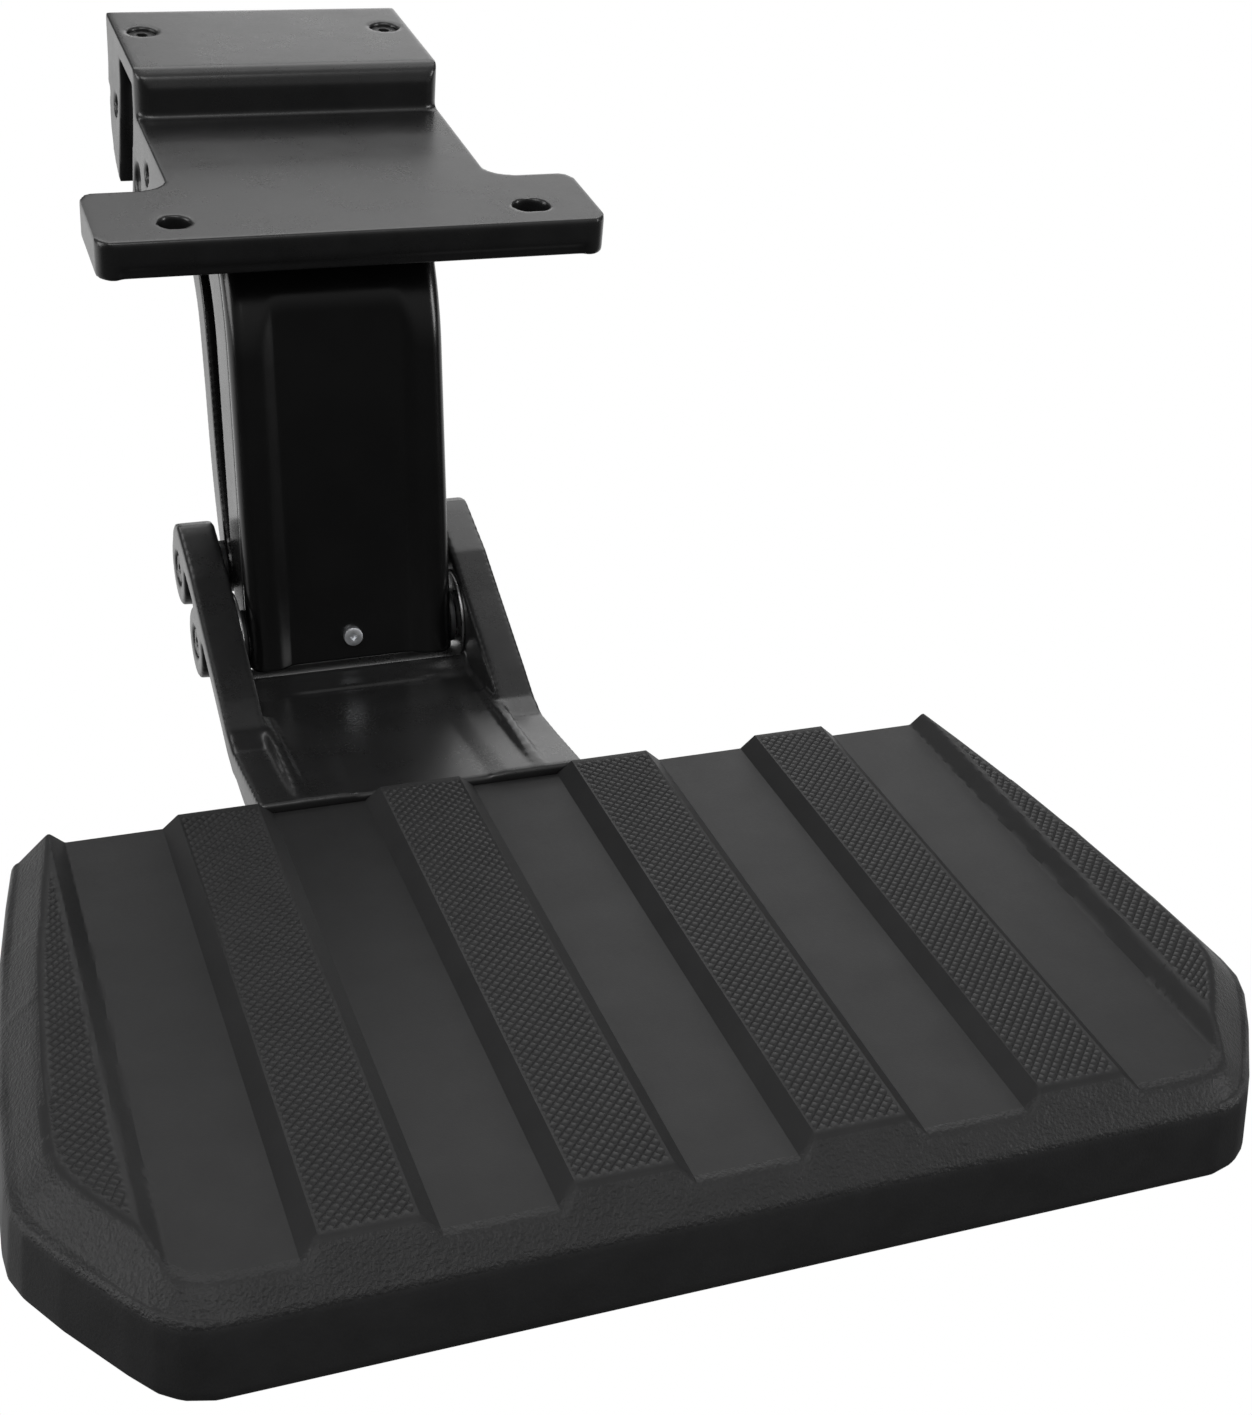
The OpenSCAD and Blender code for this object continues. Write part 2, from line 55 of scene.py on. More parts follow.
CAMERA_AT = Vector((-161.85, -653.30, 272.71)) * MM
CAMERA_RIGHT = Vector((0.9382, -0.3346, 0.0890))
CAMERA_UP = Vector((0.1236, 0.5635, 0.8168))
LENS = 54.25          # for the sensor's long side of 36 mm
SHIFT = (-0.0018, 0.0062)
FLOOR_Z = -0.75
FLOOR_HALF = 6
AIM = (0.02, -0.1, -0.1)      # where the lights point


def make_camera():
    data = bpy.data.cameras.new("camera")
    data.lens = LENS
    data.sensor_width = 36
    data.shift_x, data.shift_y = SHIFT
    data.clip_start, data.clip_end = 0.01, 50
    camera = bpy.data.objects.new("camera", data)
    bpy.context.scene.collection.objects.link(camera)
    back = CAMERA_RIGHT.cross(CAMERA_UP).normalized()
    right = CAMERA_UP.cross(back).normalized()
    up = back.cross(right)
    turn = Matrix((right, up, back)).transposed().to_4x4()
    camera.matrix_world = Matrix.Translation(CAMERA_AT) @ turn
    bpy.context.scene.camera = camera


def area_light(name, at, size, power):
    data = bpy.data.lights.new(name, "AREA")
    data.shape = "RECTANGLE"
    data.size, data.size_y = size
    data.energy = power
    light = bpy.data.objects.new(name, data)
    bpy.context.scene.collection.objects.link(light)
    light.location = at
    light.rotation_euler = (Vector(AIM) - Vector(at)).to_track_quat("-Z", "Y").to_euler()


def lit_for_camera(tree, seen, unseen, out):
    """Feeds out with one shader for what the camera sees directly and another for light."""
    path = tree.nodes.new("ShaderNodeLightPath")
    mix = tree.nodes.new("ShaderNodeMixShader")
    tree.links.new(path.outputs["Is Camera Ray"], mix.inputs["Fac"])
    tree.links.new(unseen, mix.inputs[1])
    tree.links.new(seen, mix.inputs[2])
    tree.links.new(mix.outputs["Shader"], out)


def make_world():
    """A white backdrop that lights the object softly from above and hardly from the front."""
    world = bpy.data.worlds.new("studio")
    world.use_nodes = True
    tree = world.node_tree
    white = tree.nodes["Background"]
    white.inputs["Color"].default_value = (1, 1, 1, 1)
    soft = tree.nodes.new("ShaderNodeBackground")
    place = tree.nodes.new("ShaderNodeTexCoord")
    split = tree.nodes.new("ShaderNodeSeparateXYZ")
    ramp = tree.nodes.new("ShaderNodeValToRGB")
    tree.links.new(place.outputs["Generated"], split.inputs["Vector"])
    tree.links.new(split.outputs["Z"], ramp.inputs["Fac"])
    ramp.color_ramp.elements[0].color = (0.05, 0.05, 0.05, 1)
    ramp.color_ramp.elements[1].color = (0.55, 0.55, 0.55, 1)
    tree.links.new(ramp.outputs["Color"], soft.inputs["Color"])
    out = tree.nodes["World Output"].inputs["Surface"]
    lit_for_camera(tree, white.outputs["Background"], soft.outputs["Background"], out)
    bpy.context.scene.world = world


def make_floor():
    """A pale floor: white to the camera, and a fade from dim to bright for reflections."""
    mesh = bpy.data.meshes.new("floor")
    corners = ((-1, -1), (1, -1), (1, 1), (-1, 1))
    mesh.from_pydata([(x * FLOOR_HALF, y * FLOOR_HALF, FLOOR_Z) for x, y in corners], [],
                     [(0, 1, 2, 3)])
    floor = bpy.data.objects.new("floor", mesh)
    bpy.context.scene.collection.objects.link(floor)
    material = bpy.data.materials.new("pale_floor")
    material.use_nodes = True
    tree = material.node_tree
    glow = tree.nodes.new("ShaderNodeEmission")
    glow.inputs["Color"].default_value = (1, 1, 1, 1)
    # what the object reflects: bright behind it, dim in front
    spill = tree.nodes.new("ShaderNodeEmission")
    place = tree.nodes.new("ShaderNodeTexCoord")
    split = tree.nodes.new("ShaderNodeSeparateXYZ")
    fade = tree.nodes.new("ShaderNodeMapRange")
    fade.inputs["From Min"].default_value = -0.2
    fade.inputs["From Max"].default_value = 0.9
    fade.inputs["To Min"].default_value = 0.06
    fade.inputs["To Max"].default_value = 0.95
    tree.links.new(place.outputs["Object"], split.inputs["Vector"])
    tree.links.new(split.outputs["Y"], fade.inputs["Value"])
    tree.links.new(fade.outputs["Result"], spill.inputs["Strength"])
    out = tree.nodes["Material Output"].inputs["Surface"]
    lit_for_camera(tree, glow.outputs["Emission"], spill.outputs["Emission"], out)
    mesh.materials.append(material)


def make_studio():
    area_light("softbox_above", (0.35, 1.45, 1.35), (2.4, 1.1), 14)
    area_light("softbox_back", (1.1, 2.3, 0.30), (1.8, 1.0), 9)
    area_light("softbox_front", (-0.6, -1.5, 2.1), (1.8, 1.4), 23)
    area_light("softbox_right", (1.8, -0.95, 0.55), (0.6, 0.9), 12)
    area_light("softbox_left", (-2.0, 0.1, 0.5), (1.0, 1.3), 16)
    make_world()
    make_floor()
    bpy.context.scene.view_settings.view_transform = "Standard"


# ---------------------------------------------------------------- materials

NOISE_LOW, NOISE_HIGH = 0.3, 0.7    # the span that a noise texture mostly stays in


class Finish:
    """A material built from procedural nodes in the CAD frame's coordinates."""

    def __init__(self, name, **sockets):
        self.material = bpy.data.materials.new(name)
        self.material.use_nodes = True
        self.tree = self.material.node_tree
        self.shader = self.tree.nodes["Principled BSDF"]
        for socket, value in sockets.items():
            self.shader.inputs[socket.replace("_", " ")].default_value = value
        self.place = self.node("ShaderNodeTexCoord").outputs["Object"]
        self.normal = None

    def node(self, kind, **settings):
        made = self.tree.nodes.new(kind)
        for key, value in settings.items():
            setattr(made, key, value)
        return made

    def link(self, a, b):
        self.tree.links.new(a, b)

    def stretched(self, scale):
        """The place, scaled along each axis."""
        mapping = self.node("ShaderNodeMapping")
        mapping.inputs["Scale"].default_value = scale
        self.link(self.place, mapping.inputs["Vector"])
        return mapping.outputs["Vector"]

    def noise(self, size, detail=3, stretch=None):
        """Noise between 0 and 1 with features of about this size in millimetres."""
        made = self.node("ShaderNodeTexNoise")
        made.inputs["Scale"].default_value = 1 / (size * MM)
        made.inputs["Detail"].default_value = detail
        made.inputs["Roughness"].default_value = 0.55
        self.link(self.stretched(stretch) if stretch else self.place, made.inputs["Vector"])
        return made.outputs["Fac"]

    def cells(self, size, feature="F1"):
        made = self.node("ShaderNodeTexVoronoi", feature=feature)
        made.inputs["Scale"].default_value = 1 / (size * MM)
        self.link(self.place, made.inputs["Vector"])
        return made.outputs["Distance"]

    def ranged(self, value, low, high):
        made = self.node("ShaderNodeMapRange")
        made.inputs["From Min"].default_value = NOISE_LOW
        made.inputs["From Max"].default_value = NOISE_HIGH
        made.inputs["To Min"].default_value = low
        made.inputs["To Max"].default_value = high
        self.link(value, made.inputs["Value"])
        return made.outputs["Result"]

    def mixed(self, a, b):
        """The mean of two values."""
        made = self.node("ShaderNodeMix")
        made.inputs["Factor"].default_value = 0.5
        self.link(a, made.inputs["A"])
        self.link(b, made.inputs["B"])
        return made.outputs["Result"]

    def colour(self, value, dark, light):
        ramp = self.node("ShaderNodeValToRGB")
        ramp.color_ramp.elements[0].position = NOISE_LOW
        ramp.color_ramp.elements[0].color = (*dark, 1)
        ramp.color_ramp.elements[1].position = NOISE_HIGH
        ramp.color_ramp.elements[1].color = (*light, 1)
        self.link(value, ramp.inputs["Fac"])
        self.link(ramp.outputs["Color"], self.shader.inputs["Base Color"])

    def roughness(self, value, low, high):
        self.link(self.ranged(value, low, high), self.shader.inputs["Roughness"])

    def bump(self, height, depth):
        """Adds relief of this depth in millimetres."""
        made = self.node("ShaderNodeBump")
        made.inputs["Strength"].default_value = 1.0
        made.inputs["Distance"].default_value = depth * MM
        self.link(height, made.inputs["Height"])
        if self.normal:
            self.link(self.normal, made.inputs["Normal"])
        self.normal = made.outputs["Normal"]
        self.link(self.normal, self.shader.inputs["Normal"])


def grey(value):
    """A very slightly cool grey."""
    return (value, value, value * 1.02)


def black_casting():
    f = Finish("black_casting", Specular_IOR_Level=0.6)
    f.colour(f.noise(14), grey(0.008), grey(0.012))
    f.roughness(f.mixed(f.noise(22), f.noise(1.2)), 0.25, 0.34)
    f.bump(f.noise(0.8, detail=4), 0.018)
    f.bump(f.noise(9, detail=2), 0.06)
    return f.material


def arm_coating():
    f = Finish("arm_coating", Specular_IOR_Level=0.5)
    f.colour(f.noise(14), grey(0.006), grey(0.009))
    f.roughness(f.mixed(f.noise(18), f.noise(1.0)), 0.22, 0.32)
    f.bump(f.noise(0.8, detail=4), 0.012)
    return f.material


def gloss_plastic():
    f = Finish("gloss_plastic", Specular_IOR_Level=0.5)
    f.colour(f.noise(30), grey(0.0020), grey(0.0032))
    f.roughness(f.mixed(f.noise(16), f.noise(0.8)), 0.19, 0.26)
    f.bump(f.noise(7, detail=2), 0.012)
    f.bump(f.noise(0.6, stretch=(1, 1, 0.08)), 0.0015)
    return f.material


def tread_plastic(name, base, rough, grain, depth):
    """Moulded tread plastic; grain is the size of its leather grain, or 0 for a satin face."""
    f = Finish(name, Specular_IOR_Level=0.28)
    f.colour(f.noise(11), grey(base), grey(base * 1.25))
    f.roughness(f.mixed(f.noise(20), f.noise(1.1)), rough - 0.04, rough + 0.05)
    if grain:
        f.bump(f.mixed(f.cells(grain, "SMOOTH_F1"), f.noise(grain * 0.6)), depth)
    f.bump(f.noise(0.45, detail=4), 0.03)
    return f.material


def metal(name, base, rough, tint=(1, 1, 1)):
    f = Finish(name, Metallic=1.0)
    dark = [base * 0.8 * c for c in tint]
    light = [base * c for c in tint]
    f.colour(f.noise(3), dark, light)
    f.roughness(f.noise(2.2, detail=5), rough - 0.07, rough + 0.1)
    f.bump(f.noise(0.35, detail=4), 0.015)
    return f.material


def dark_steel():
    f = Finish("dark_steel", Metallic=0.6)
    f.colour(f.noise(3), grey(0.012), grey(0.03))
    f.roughness(f.noise(1.6, detail=5), 0.3, 0.45)
    f.bump(f.noise(0.5, detail=3), 0.02)
    return f.material


def rubber():
    f = Finish("rubber", Specular_IOR_Level=0.3)
    f.colour(f.noise(4), grey(0.012), grey(0.022))
    f.roughness(f.noise(1.5), 0.68, 0.82)
    f.bump(f.noise(0.6, detail=4), 0.06)
    return f.material


def bush_plastic():
    f = Finish("bush_plastic", Specular_IOR_Level=0.4, Subsurface_Weight=0.05)
    f.colour(f.noise(5), grey(0.02), grey(0.035))
    f.roughness(f.noise(1.8), 0.42, 0.55)
    f.bump(f.noise(0.5), 0.03)
    return f.material


def sheet_coating():
    f = Finish("sheet_coating", Specular_IOR_Level=0.45)
    f.colour(f.noise(8), grey(0.010), grey(0.016))
    f.roughness(f.noise(3), 0.42, 0.55)
    f.bump(f.noise(0.7, detail=4), 0.05)
    return f.material


# ---------------------------------------------------------------- mesh helpers

def new_piece(name, mesh, node, materials):
    """A piece in the frame that stands for a CAD node and rides on its body."""
    piece = bpy.data.objects.new(name, mesh)
    bpy.context.scene.collection.objects.link(piece)
    for m in materials:
        mesh.materials.append(m)
    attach(piece, node_body[node])
    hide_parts(node)
    return piece


def evaluated_mesh(o):
    """A new mesh of an object as its modifiers or its bevel leave it."""
    bpy.context.view_layer.update()
    return bpy.data.meshes.new_from_object(o.evaluated_get(bpy.context.evaluated_depsgraph_get()))


def applied(piece):
    """Bakes the modifiers of a piece into its mesh."""
    baked = evaluated_mesh(piece)
    old = piece.data
    piece.modifiers.clear()
    piece.data = baked
    bpy.data.meshes.remove(old)


def shade(mesh, angle):
    """Smooth shading, with edges sharper than the angle (in degrees) left crisp."""
    for p in mesh.polygons:
        p.use_smooth = True
    mesh.set_sharp_from_angle(angle=math.radians(angle))


WELD_DISTANCE = 0.002 * MM
CAST_VOXEL = 0.9 * MM
CAST_KEEP = 0.4                 # share of the faces left after thinning


def cast_piece(name, node, material, soften):
    """The node's shape remade as a casting: even skin, with every edge and inner corner rounded."""
    mesh = frame["nodes"][node].data.copy()
    mesh.materials.clear()
    bm = bmesh.new()
    bm.from_mesh(mesh)
    bmesh.ops.remove_doubles(bm, verts=bm.verts, dist=WELD_DISTANCE)
    bm.to_mesh(mesh)
    bm.free()
    piece = new_piece(name, mesh, node, [])
    remesh = piece.modifiers.new("skin", "REMESH")
    remesh.mode = "VOXEL"
    remesh.voxel_size = CAST_VOXEL
    smooth = piece.modifiers.new("soften", "SMOOTH")
    smooth.factor = 0.5
    smooth.iterations = soften
    thin = piece.modifiers.new("thin", "DECIMATE")
    thin.ratio = CAST_KEEP
    applied(piece)
    piece.data.materials.clear()
    piece.data.materials.append(material)
    shade(piece.data, 50)


def grid_faces(rows, columns):
    faces = []
    for i in range(rows - 1):
        for j in range(columns - 1):
            a, b = i * columns + j, (i + 1) * columns + j
            faces.append((a, a + 1, b + 1, b))
    return faces


def soft_min(a, b, k):
    """The lower of two heights, blended over a band k wide."""
    h = max(k - abs(a - b), 0.0) / k
    return min(a, b) - h * h * k * 0.25


# ---------------------------------------------------------------- front cover

LEAN = math.atan(0.267)
BEND_CENTRE = (84.2, -76.2)     # side view, y and z in millimetres
BEND_START = (31.0, -62.0)
BEND_R = math.hypot(BEND_CENTRE[0] - BEND_START[0], BEND_CENTRE[1] - BEND_START[1])
LINK_HALF = 38.0
LINK_FRONT = BEND_R + 10.6      # bend radius of the link's front edge
COVER_R = LINK_FRONT + 7.3      # bend radius of the cover's side bands
COVER_LOW = -167.4
COVER_SWEEP = math.radians(31)
PANEL_IN = 2.5
PANEL_FLAT, PANEL_EDGE = 22.0, 28.0
CORNER_R = 5.5
CREASE = 0.5                    # width of the soft crease round the panel
SHOULDER = 0.9                  # and of the soft edge between slope and band
COVER_ROWS = 150
STRAIGHT_T = -50                # a place on the straight part, below the bend
SIDE_DEPTH = 7.2                # depth of the side walls at the lower edge
SIDE_GAP = 0.1                  # between the side walls' back edge and the link
FOOT = (BEND_CENTRE[0] - COVER_R * math.cos(LEAN), BEND_CENTRE[1] + COVER_R * math.sin(LEAN))


def cover_height(x, t):
    """How far the cover stands out from its straight front plane (0 or less)."""
    bend = COVER_R - math.sqrt(COVER_R ** 2 - max(t, 0.0) ** 2)
    sunk = -PANEL_IN + max(abs(x) - PANEL_FLAT, 0.0) * PANEL_IN / (PANEL_EDGE - PANEL_FLAT)
    # the slope meets the flat panel in a soft crease
    sunk = -soft_min(-sunk, PANEL_IN, CREASE) if abs(x) > PANEL_FLAT - 2 else sunk
    height = soft_min(-bend, sunk, SHOULDER)
    over = max(abs(x) - (LINK_HALF - CORNER_R), 0.0)
    return height - CORNER_R + math.sqrt(max(CORNER_R ** 2 - over ** 2, 0.0))


def cover_point(x, t, h):
    """A point of the cover: t up along its straight front, h out from it."""
    y = FOOT[0] + t * math.sin(LEAN) - h * math.cos(LEAN)
    z = FOOT[1] + t * math.cos(LEAN) + h * math.sin(LEAN)
    return (x * MM, y * MM, z * MM)


def cover_low_t(h):
    """Where the cover's lower edge lies, for a point that stands out by h."""
    return (COVER_LOW - FOOT[1] - h * math.sin(LEAN)) / math.cos(LEAN)


def make_cover(material):
    """The gloss cover: its moulded front, side walls and a thin wall behind."""
    # stations across: side wall, rounded corner, band, slope, panel, and back again
    flat = [i * 1.5 for i in range(15)]
    slope = [22.4 + i * 0.8 for i in range(8)]
    band = [29.5, 31, 32.5]
    corner = [LINK_HALF - CORNER_R + CORNER_R * math.sin(math.radians(a)) for a in range(9, 91, 9)]
    half = flat + slope + band + corner
    across = [-x for x in reversed(half)] + half[1:]
    top_t = COVER_R * math.sin(COVER_SWEEP)
    points = []
    for i in range(COVER_ROWS):
        share = i / (COVER_ROWS - 1)
        row = []
        for x in across:
            low = cover_low_t(cover_height(x, STRAIGHT_T))
            t = low + (top_t - low) * share
            row.append(cover_point(x, t, cover_height(x, t)))
        ends = []
        for x in (-LINK_HALF, LINK_HALF):
            low = cover_low_t(-SIDE_DEPTH)
            t = low + (top_t - low) * share
            back = -COVER_R + math.sqrt(LINK_FRONT ** 2 - max(t, 0.0) ** 2) + SIDE_GAP
            ends.append(cover_point(x, t, back))
        points += [ends[0], *row, ends[1]]
    mesh = bpy.data.meshes.new("cover_shell")
    mesh.from_pydata(points, [], grid_faces(COVER_ROWS, len(across) + 2))
    piece = new_piece("cover_shell", mesh, "front_cover", [])
    wall = piece.modifiers.new("wall", "SOLIDIFY")
    wall.thickness = 2.0 * MM
    wall.offset = -1
    rim = piece.modifiers.new("rim", "BEVEL")
    rim.width = 0.5 * MM
    rim.segments = 2
    rim.limit_method = "ANGLE"
    rim.angle_limit = math.radians(60)
    applied(piece)
    piece.data.materials.append(material)
    shade(piece.data, 35)


# ---------------------------------------------------------------- tread

# on the tread, x is across, v is towards the vehicle and n is up from the rib tops, in millimetres
TREAD_AT = Vector((31.1, 0, -162.7)) * MM
TREAD_TILT = math.radians(-6)
RIBS = ((-112.2, -86.8), (-46.5, -19.7), (19.7, 46.5), (86.8, 112.2))
RIB_FLARE = 5.0
GROOVE = 4.5
TREAD_BACK = -113.0
TREAD_FRONT = -322.0
RIB_ENDS = (-113.6, -312.0)
FRONT_ROWS = 11                 # rows of faces on the front bevel
BEVEL_DROP = 10.0
BEVEL_SLOPE = 0.98
BEVEL_SHARE = 9.5               # the grained bevel reaches this far in
KNURL_X = 3.35                  # size of a diamond across and along
KNURL_V = 3.5
KNURL_STEPS = (0.4, 0.15, -0.6)  # heights of a diamond's middle, rim and groove, in KNURL_H
KNURL_H = 0.55
STRIP_X = 117.7                 # outer grooves start here,
STRIP_FOOT = 147.5              # the rise to the outer strips here
STRIP_FROM = 154.0              # and their knurl here
SATIN, KNURL, GRAIN, SKIRT = range(4)    # material slots of the tread
RINGS = ((0.7, 0.7), (1.8, 1.3), (3.4, 1.7), (8.0, 2.2), (19.5, 3.4), (21.8, 3.4),
         (23.2, 2.7), (24.0, 1.4))    # the skirt's drop below the bevel's foot, and its reach out
NOTCH = (-89.5, 27.5)           # the carrier passes under the back edge here
# half the width along the tread, as (v, half width) points
SIDE = ((-113, 163), (-132, 166.5), (-163, 171.5), (-227, 178.5), (-262, 180.5), (-270, 180),
        (-277, 177.5), (-290, 170), (-309, 157.2), (-316.5, 151.5), (-320, 147), (-322, 140))


def half_width(v):
    """Half the tread's width at the bevel's foot."""
    for (v0, w0), (v1, w1) in zip(SIDE, SIDE[1:]):
        if v >= v1:
            return w0 + (w1 - w0) * (v - v0) / (v1 - v0)
    return SIDE[-1][1]


def edge_distance(x, v):
    """Distance in from the tread's front, corner and side edges."""
    best = v - TREAD_FRONT
    for (v0, w0), (v1, w1) in zip(SIDE, SIDE[1:]):
        length = math.hypot(v1 - v0, w1 - w0)
        d = ((v0 - v1) * (w0 - abs(x)) + (w1 - w0) * (v0 - v)) / length
        if v1 - 30 <= v <= v0 + 30:
            best = soft_min(best, d, 3.0)
    return best


def tread_height(x, v):
    """Height of the tread's top, 0 on the ribs, in millimetres."""
    profile = -GROOVE
    for left, right in RIBS:
        rise = min(x - (left - RIB_FLARE), (right + RIB_FLARE) - x) / RIB_FLARE
        profile = max(profile, -GROOVE + GROOVE * min(rise, 1.0))
    outer = (abs(x) - STRIP_FOOT) / RIB_FLARE
    profile = max(profile, -GROOVE + GROOVE * min(outer, 1.0))
    bevel = -BEVEL_DROP + edge_distance(x, v) * BEVEL_SLOPE
    return max(soft_min(profile, bevel, 1.6), -BEVEL_DROP)


def on_knurl(x, v):
    """True where the rib tops and the outer strips carry the diamond pattern."""
    if not RIB_ENDS[1] + 1.5 < v < RIB_ENDS[0] - 1.5:
        return False
    if any(left + 0.7 < x < right - 0.7 for left, right in RIBS):
        return True
    return STRIP_FROM < abs(x) and v < -132 and edge_distance(x, v) > 11.8


def diamond(column, row):
    """Steps from the middle of the nearest diamond, 0 to 2; 2 is the groove between them."""
    c, r = column % 4, row % 4
    near = min(c, 4 - c) + min(r, 4 - r)
    return min(near, 4 - near)


def tread_columns():
    """Lines across the middle, then distances out from STRIP_X to groove, strip and slope."""
    fixed = set()
    for left, right in RIBS:
        count = 4 * round((right - left) / KNURL_X)
        fixed.update(left + (right - left) * i / count for i in range(count + 1))
        for edge, out in ((left, -1), (right, 1)):
            fixed.update(edge + out * d for d in (0.6, 1.7, 3.3, 4.4, 5.0, 5.7, 7))
    fixed.update((-75, -70, -60, -6, 0, 6, 60, 70, 75))
    inner = sorted(x for x in fixed if abs(x) < STRIP_X + 0.1)
    groove = [1, 8, 16, 24, 27.5, 29, 29.8, 30.8, 32, 33.2, 34.4, 35.2, 36]
    strip = [STRIP_FROM - STRIP_X + KNURL_X * i / 4 for i in range(19)]
    slope = [53.5, 54.5, 55.5, 56.5, 57.5, 58.6, 59.8, 61, 62.5]
    return inner, groove, strip, slope


def tread_point(x, v, n):
    place = Vector((x, v, n)) * MM
    turn = Matrix.Rotation(TREAD_TILT, 3, "X")
    return TREAD_AT + turn @ place


def tread_line(v, inner, groove, strip, slope):
    """Lines across the tread at v; those past STRIP_X squeeze in where the tread narrows."""
    squeeze = min(1.0, (half_width(v) - STRIP_X) / slope[-1])
    stretch = (half_width(v) - STRIP_X - strip[-1] * squeeze) / (slope[-1] - strip[-1])
    out = [STRIP_X + g * squeeze for g in groove + strip]
    out += [STRIP_X + strip[-1] * squeeze + (g - strip[-1]) * stretch for g in slope]
    return [-x for x in reversed(out)] + inner + out


def make_tread(materials):
    """One moulded sheet: the knurled, ribbed top, its bevels and the skirt all round."""
    parts = tread_columns()
    count = 4 * round((RIB_ENDS[0] - RIB_ENDS[1]) / KNURL_V)
    step = (RIB_ENDS[0] - RIB_ENDS[1]) / count
    rows = [TREAD_BACK, *(RIB_ENDS[0] - step * i for i in range(count + 1))]
    rows += [RIB_ENDS[1] - (RIB_ENDS[1] - TREAD_FRONT) * i / FRONT_ROWS
             for i in range(1, FRONT_ROWS + 1)]
    first_strip = len(tread_line(-200, *parts)) - len(parts[3]) - len(parts[2])
    bm = bmesh.new()
    grid, tops = [], {}
    for r, v in enumerate(rows):
        line = tread_line(v, *parts)
        row = []
        for c, x in enumerate(line):
            n = tread_height(x, v)
            step_out = 0
            if on_knurl(x, v):
                step_out = diamond(c - first_strip if x > STRIP_X else c, r)
                n += KNURL_H * KNURL_STEPS[step_out]
            row.append(bm.verts.new(tread_point(x, v, n)))
            tops[row[-1]] = (x, v, n, step_out)
        grid.append(row)
    for r in range(len(rows) - 1):
        for c in range(len(grid[0]) - 1):
            a, b, d, e = grid[r][c], grid[r + 1][c], grid[r + 1][c + 1], grid[r][c + 1]
            x, v = (tops[a][0] + tops[d][0]) / 2, (tops[a][1] + tops[d][1]) / 2
            if on_knurl(x, v):
                # split along the groove between two diamonds, or along a diamond's rim
                across, along = (tops[e][3], tops[b][3]), (tops[a][3], tops[d][3])
                if across[0] == across[1] and (along[0] != along[1] or across[0] > along[0]):
                    made = [bm.faces.new((e, a, b)), bm.faces.new((e, b, d))]
                else:
                    made = [bm.faces.new((e, a, d)), bm.faces.new((a, b, d))]
                kind = KNURL
            else:
                made = [bm.faces.new((e, a, b, d))]
                on_bevel = edge_distance(x, v) < BEVEL_SHARE and tops[a][2] < -0.3
                kind = GRAIN if on_bevel else SATIN
            for face in made:
                face.material_index = kind
    add_skirt(bm, grid)
    bm.normal_update()
    mesh = bpy.data.meshes.new("tread_mat")
    bm.to_mesh(mesh)
    bm.free()
    piece = new_piece("tread_mat", mesh, "tread_pad", materials)
    wall = piece.modifiers.new("wall", "SOLIDIFY")
    wall.thickness = 3.0 * MM
    wall.offset = -1
    applied(piece)
    shade(piece.data, 32)


def add_skirt(bm, grid):
    """Walls from the top's edge down to the skirt's lower edge, open over the carrier."""
    left = [row[0] for row in grid]
    right = [row[-1] for row in reversed(grid)]
    front = grid[-1][1:-1]
    back = list(reversed(grid[0]))
    loop = left + front + right + back[1:-1]
    turn = Matrix.Rotation(-TREAD_TILT, 3, "X")
    flat = [(turn @ (v.co - TREAD_AT)) / MM for v in loop]
    size = len(loop)
    first_back = len(left) + len(front) + len(right)
    normals = []
    for i in range(size):
        # average over a few neighbours, so that the corners flare evenly
        a, b = flat[max(i - 2, 0)], flat[min(i + 2, first_back - 1)]
        d = Vector((b.x - a.x, b.y - a.y))
        out = Vector((d.y, -d.x))
        normals.append(out.normalized() if out.length > 1e-6 else Vector((0, 0)))
    previous = loop
    for drop, reach in RINGS:
        ring = []
        for i, p in enumerate(flat):
            out = Vector((0, 0)) if i >= first_back else normals[i] * reach
            if i in (0, first_back - 1):
                out = Vector((reach if p.x > 0 else -reach, 0))
            ring.append(bm.verts.new(tread_point(p.x + out.x, p.y + out.y, -BEVEL_DROP - drop)))
        for i in range(size):
            j = (i + 1) % size
            middle = (flat[i].x + flat[j].x) / 2
            is_back = i >= first_back - 1
            if is_back and NOTCH[0] < middle < NOTCH[1]:
                continue
            face = bm.faces.new((previous[i], ring[i], ring[j], previous[j]))
            face.material_index = GRAIN if drop < 3 and not is_back else SKIRT
        previous = ring
    loose = [v for v in bm.verts if not v.link_faces]
    bmesh.ops.delete(bm, geom=loose, context="VERTS")


# ---------------------------------------------------------------- springs

FRONT_UP = (90.0, -22.0)
COIL_R = 8.0
WIRE = 2.6
TURNS = 5
SPRING_FROM, SPRING_RISE = -26.0, 13.5
LEG = 22.0


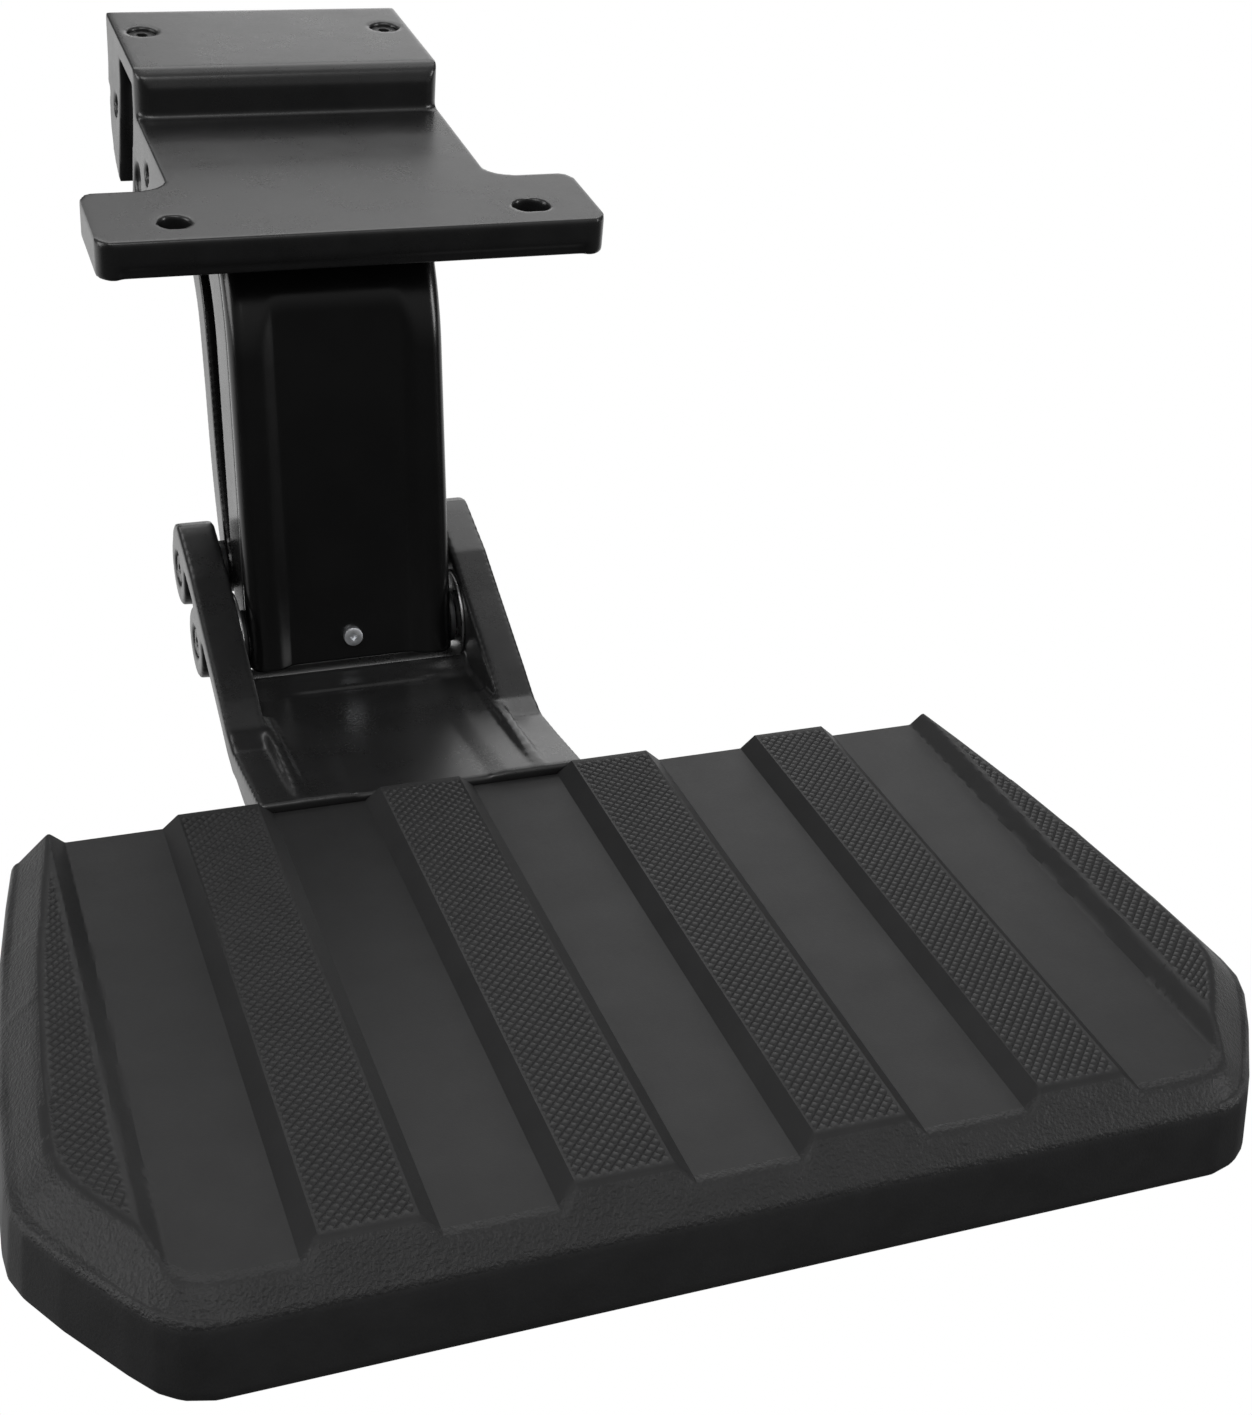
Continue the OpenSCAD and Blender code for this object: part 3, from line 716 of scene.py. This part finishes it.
def make_spring(name, node, side, material):
    """A helical torsion spring round the front upper shaft, with its two legs."""
    path = [(0.0, -LEG, -COIL_R)]
    steps = 20 * TURNS
    for i in range(steps + 1):
        a = -math.pi / 2 + math.tau * (TURNS + 0.5) * i / steps
        path.append((SPRING_RISE * i / steps, COIL_R * math.cos(a), COIL_R * math.sin(a)))
    path.append((SPRING_RISE, -LEG, COIL_R))
    curve = bpy.data.curves.new(name, "CURVE")
    curve.dimensions = "3D"
    curve.bevel_depth = WIRE / 2 * MM
    curve.bevel_resolution = 3
    curve.use_fill_caps = True
    line = curve.splines.new("POLY")
    line.points.add(len(path) - 1)
    for p, (x, y, z) in zip(line.points, path):
        x = side * (SPRING_FROM + x)
        p.co = (x * MM, (FRONT_UP[0] + y) * MM, (FRONT_UP[1] + z) * MM, 1)
    holder = bpy.data.objects.new(name + "_line", curve)
    bpy.context.scene.collection.objects.link(holder)
    mesh = evaluated_mesh(holder)
    bpy.data.objects.remove(holder)
    mesh.name = name
    mesh.materials.clear()
    piece = new_piece(name, mesh, node, [material])
    shade(piece.data, 50)


# ---------------------------------------------------------------- CAD nodes that stay

def finish_node(node, material, edge=0.3):
    """Gives a CAD node its material and breaks its edges."""
    o = frame["nodes"][node]
    o.data.materials.clear()
    o.data.materials.append(material)
    for p in o.data.polygons:
        p.material_index = 0
        p.use_smooth = True
    weld = o.modifiers.new("weld", "WELD")
    weld.merge_threshold = WELD_DISTANCE
    bevel = o.modifiers.new("edges", "BEVEL")
    bevel.width = edge * MM
    bevel.segments = 2
    bevel.limit_method = "ANGLE"
    bevel.angle_limit = math.radians(35)
    bevel.harden_normals = True


# ---------------------------------------------------------------- the scene

make_camera()
make_studio()

casting = black_casting()
arms = arm_coating()
spring_steel = metal("spring_steel", 0.32, 0.35)
steel = metal("steel", 0.30, 0.30)
zinc = metal("zinc_steel", 0.92, 0.36, tint=(0.98, 1.0, 1.03))
bolt_zinc = metal("bolt_zinc", 0.5, 0.34)
black_oxide = metal("black_oxide", 0.10, 0.34)
socket_black = dark_steel()
bush = bush_plastic()

cast_piece("bracket_casting", "top_bracket", casting, 6)
cast_piece("carrier_casting", "step_carrier", casting, 6)
cast_piece("front_arm_casting", "front_link", arms, 5)
cast_piece("rear_arm_casting", "rear_link", arms, 5)
make_cover(gloss_plastic())
make_tread([
    tread_plastic("tread_satin", 0.013, 0.50, 0, 0),
    tread_plastic("tread_knurl", 0.016, 0.42, 0, 0),
    tread_plastic("tread_grain", 0.016, 0.42, 1.1, 0.42),
    tread_plastic("tread_skirt", 0.020, 0.44, 1.0, 0.10),
])
make_spring("left_coil", "left_torsion_spring", 1, spring_steel)
make_spring("right_coil", "right_torsion_spring", -1, spring_steel)

for name in ("front_upper_shaft", "rear_upper_shaft", "front_lower_shaft", "rear_lower_shaft",
             "stow_stop_pin"):
    finish_node(name, black_oxide)
finish_node("lower_thrust_washers", steel)
for name in ("frame_bolts", "tread_screws", "bumper_screws"):
    finish_node(name, bolt_zinc, 0.2)
finish_node("cover_screw", zinc, 0.35)
finish_node("pin_lock_screws", socket_black, 0.35)
finish_node("shaft_circlips", socket_black, 0.1)
finish_node("deployed_bumpers", rubber(), 0.5)
for name in ("front_upper_bushes", "front_lower_bushes", "rear_upper_bushes", "rear_lower_bushes"):
    finish_node(name, bush)
finish_node("tread_frame", sheet_coating(), 0.4)
